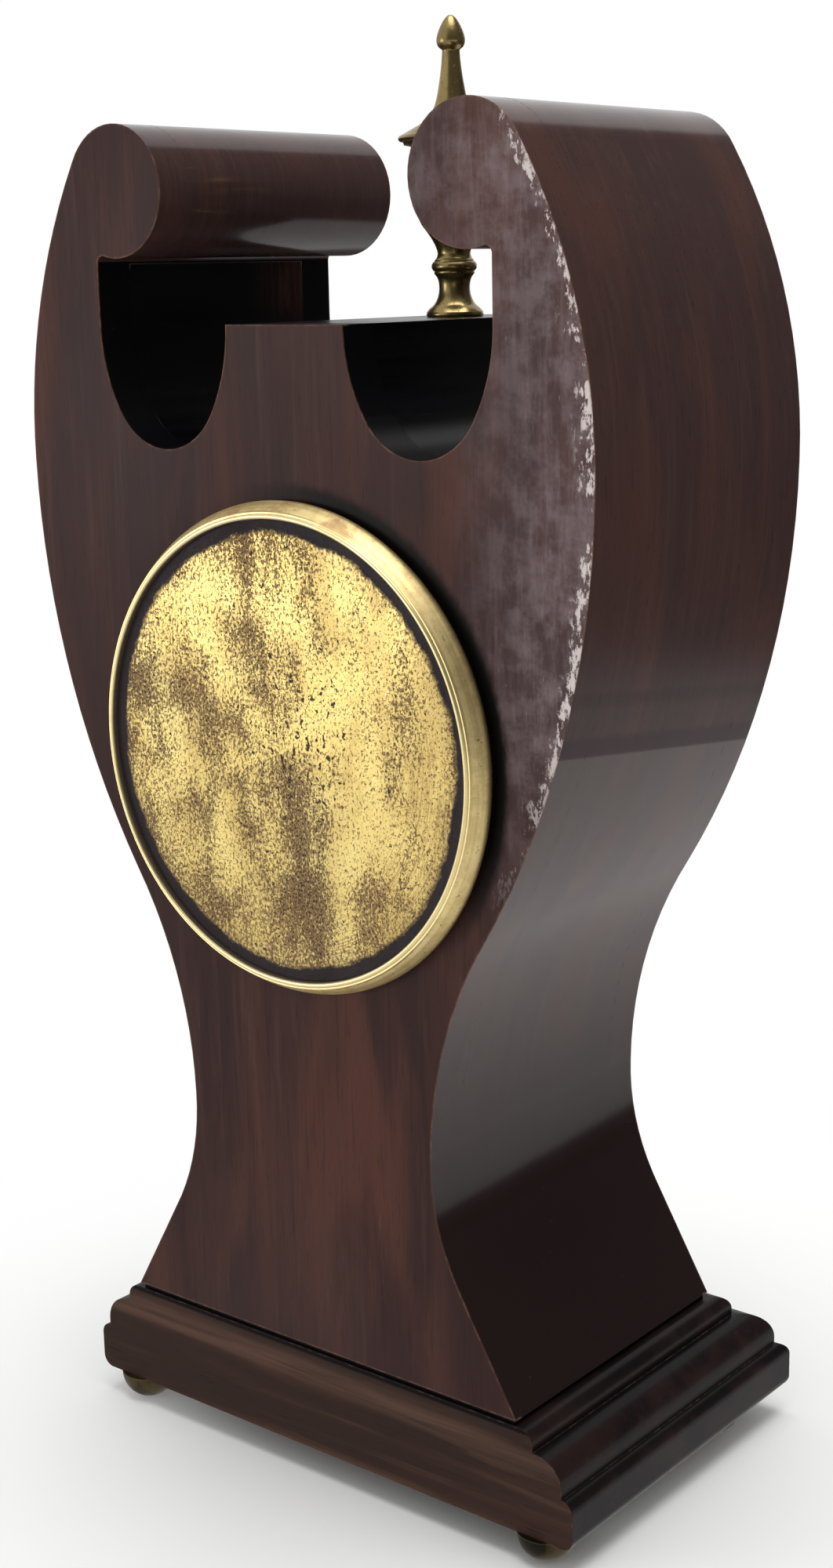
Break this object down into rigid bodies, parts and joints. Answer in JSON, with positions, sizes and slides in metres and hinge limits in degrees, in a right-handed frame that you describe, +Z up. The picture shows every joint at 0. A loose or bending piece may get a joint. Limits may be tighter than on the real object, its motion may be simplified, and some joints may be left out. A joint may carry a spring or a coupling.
{
  "type": "mantel clock",
  "caption": "Mahogany balloon clock with scrolled arms, open arches, brass finial, hinged glazed bezel, lift-off back cap and a spring movement wound and set from the back.",
  "frame": {"origin": "on the surface the clock stands on, under the middle of its bounding box", "axes": "+Z up, -Y towards the viewer of the dial, +Y out of the back cap, +X to the right of a viewer who faces the dial"},
  "size_m": [0.143, 0.0902, 0.3008],
  "materials": {
    "mahogany": "French-polished mahogany, satin",
    "veneer": "mahogany veneer, glossy French polish",
    "ebonised": "ebonised wood",
    "inner_wood": "raw softwood",
    "aged_brass": "tarnished, worn at the edges",
    "movement_brass": "brushed and lacquered",
    "steel": "polished steel",
    "blued_steel": "blued steel",
    "enamel": "fired white enamel, glossy",
    "glass": "clear convex glass"
  },
  "bodies": {
    "case": {"back_panel": "mahogany", "front_panel": "mahogany", "side_left": "veneer", "side_right": "veneer", "scroll_left": "veneer", "scroll_right": "veneer", "arch_liner_left": "ebonised", "arch_liner_right": "ebonised", "top_board": "ebonised", "bottom_board": "ebonised", "glue_blocks": "inner_wood", "plinth": "mahogany", "feet": "aged_brass", "foot_screws": "steel", "finial_vase": "aged_brass", "finial_lid": "aged_brass", "finial_rod": "steel", "bezel_ring": "aged_brass", "hinge_pin": "aged_brass", "dial_pan": "movement_brass", "dial": "enamel", "back_ring": "aged_brass", "straps": "movement_brass", "strap_screws": "steel", "front_plate": "movement_brass", "back_plate": "movement_brass", "pillars": "movement_brass", "pillar_screws": "blued_steel", "click_spring": "steel", "platform": "movement_brass", "escape_cock": "movement_brass", "hairspring": "blued_steel", "balance_cock": "movement_brass"},
    "bezel_door": {"bezel": "aged_brass", "bezel_glass": "glass", "glass_ring": "aged_brass"},
    "back_cap": {"cap_ring": "aged_brass", "cap_disc": "aged_brass"},
    "hands": {"hand_arbor": "steel", "cannon_pinion": "steel", "minute_hand": "blued_steel", "hand_collet": "movement_brass"},
    "minute_work": {"minute_wheel": "movement_brass"},
    "hour_work": {"hour_wheel": "movement_brass", "hour_hand": "blued_steel"},
    "fourth": {"fourth_wheel": "movement_brass"},
    "escape": {"escape_wheel": "movement_brass"},
    "third": {"third_wheel": "movement_brass"},
    "centre": {"centre_wheel": "movement_brass", "centre_arbor": "steel"},
    "intermediate": {"intermediate_wheel": "movement_brass"},
    "going_barrel": {"barrel": "movement_brass", "barrel_cover": "movement_brass", "mainspring": "blued_steel"},
    "winding": {"barrel_arbor": "steel", "ratchet_wheel": "steel"},
    "click_arm": {"click": "steel"},
    "lever_body": {"lever": "steel"},
    "balance": {"balance_wheel": "movement_brass"},
    "regulator_body": {"regulator": "steel"}
  },
  "joints": [
    {"name": "bezel_hinge", "type": "hinge", "parent": "case", "child": "bezel_door", "pos_m": [-0.0534, -0.03417, 0.1588], "axis": [0, 0, -1], "range_deg": [0, 110]},
    {"name": "cap_pull", "type": "slide", "parent": "case", "child": "back_cap", "axis": [0, 1, 0], "range_m": [0, 0.03]},
    {"name": "minute_hand_turn", "type": "hinge", "parent": "case", "child": "hands", "pos_m": [0, 0.00373, 0.1588], "axis": [0, 1, 0], "continuous": true},
    {"name": "minute_wheel_turn", "type": "hinge", "parent": "case", "child": "minute_work", "pos_m": [0.00963, 0.00373, 0.15205], "axis": [0, 1, 0], "continuous": true},
    {"name": "hour_hand_turn", "type": "hinge", "parent": "case", "child": "hour_work", "pos_m": [0, 0.00373, 0.1588], "axis": [0, 1, 0], "continuous": true},
    {"name": "fourth_wheel_turn", "type": "hinge", "parent": "case", "child": "fourth", "pos_m": [-0.00516, 0.00373, 0.17281], "axis": [0, 1, 0], "continuous": true},
    {"name": "escape_wheel_turn", "type": "hinge", "parent": "case", "child": "escape", "pos_m": [-0.009, 0.00373, 0.1829], "axis": [0, 1, 0], "continuous": true},
    {"name": "third_wheel_turn", "type": "hinge", "parent": "case", "child": "third", "pos_m": [0.00756, 0.00373, 0.17189], "axis": [0, 1, 0], "continuous": true},
    {"name": "centre_wheel_turn", "type": "hinge", "parent": "case", "child": "centre", "pos_m": [0, 0.00373, 0.1588], "axis": [0, 1, 0], "continuous": true},
    {"name": "intermediate_wheel_turn", "type": "hinge", "parent": "case", "child": "intermediate", "pos_m": [0.00861, 0.00373, 0.14608], "axis": [0, 1, 0], "continuous": true},
    {"name": "barrel_turn", "type": "hinge", "parent": "case", "child": "going_barrel", "pos_m": [-0.0116, 0.00373, 0.1422], "axis": [0, 1, 0], "continuous": true},
    {"name": "winding_turn", "type": "hinge", "parent": "case", "child": "winding", "pos_m": [-0.0116, 0.00373, 0.1422], "axis": [0, 1, 0], "range_deg": [0, 1800]},
    {"name": "click_lift", "type": "hinge", "parent": "case", "child": "click_arm", "pos_m": [-0.002, 0.00373, 0.1497], "axis": [0, 1, 0], "range_deg": [-3, 5]},
    {"name": "lever_swing", "type": "hinge", "parent": "case", "child": "lever_body", "pos_m": [-0.0038, 0.00373, 0.1829], "axis": [0, 1, 0], "range_deg": [-5, 5]},
    {"name": "balance_swing", "type": "hinge", "parent": "case", "child": "balance", "pos_m": [0.0032, 0.00373, 0.1829], "axis": [0, 1, 0], "range_deg": [-270, 270]},
    {"name": "regulator_turn", "type": "hinge", "parent": "case", "child": "regulator_body", "pos_m": [0.0032, 0.00373, 0.1829], "axis": [0, 1, 0], "range_deg": [-20, 20]}
  ],
  "couplings": [
    {"joint": "minute_wheel_turn", "follows": "minute_hand_turn", "ratio": -0.33333},
    {"joint": "hour_hand_turn", "follows": "minute_hand_turn", "ratio": 0.083333},
    {"joint": "fourth_wheel_turn", "follows": "third_wheel_turn", "ratio": -7.5},
    {"joint": "escape_wheel_turn", "follows": "third_wheel_turn", "ratio": 60},
    {"joint": "centre_wheel_turn", "follows": "third_wheel_turn", "ratio": -0.125},
    {"joint": "intermediate_wheel_turn", "follows": "third_wheel_turn", "ratio": 0.017857},
    {"joint": "barrel_turn", "follows": "third_wheel_turn", "ratio": -0.0029762}
  ]
}
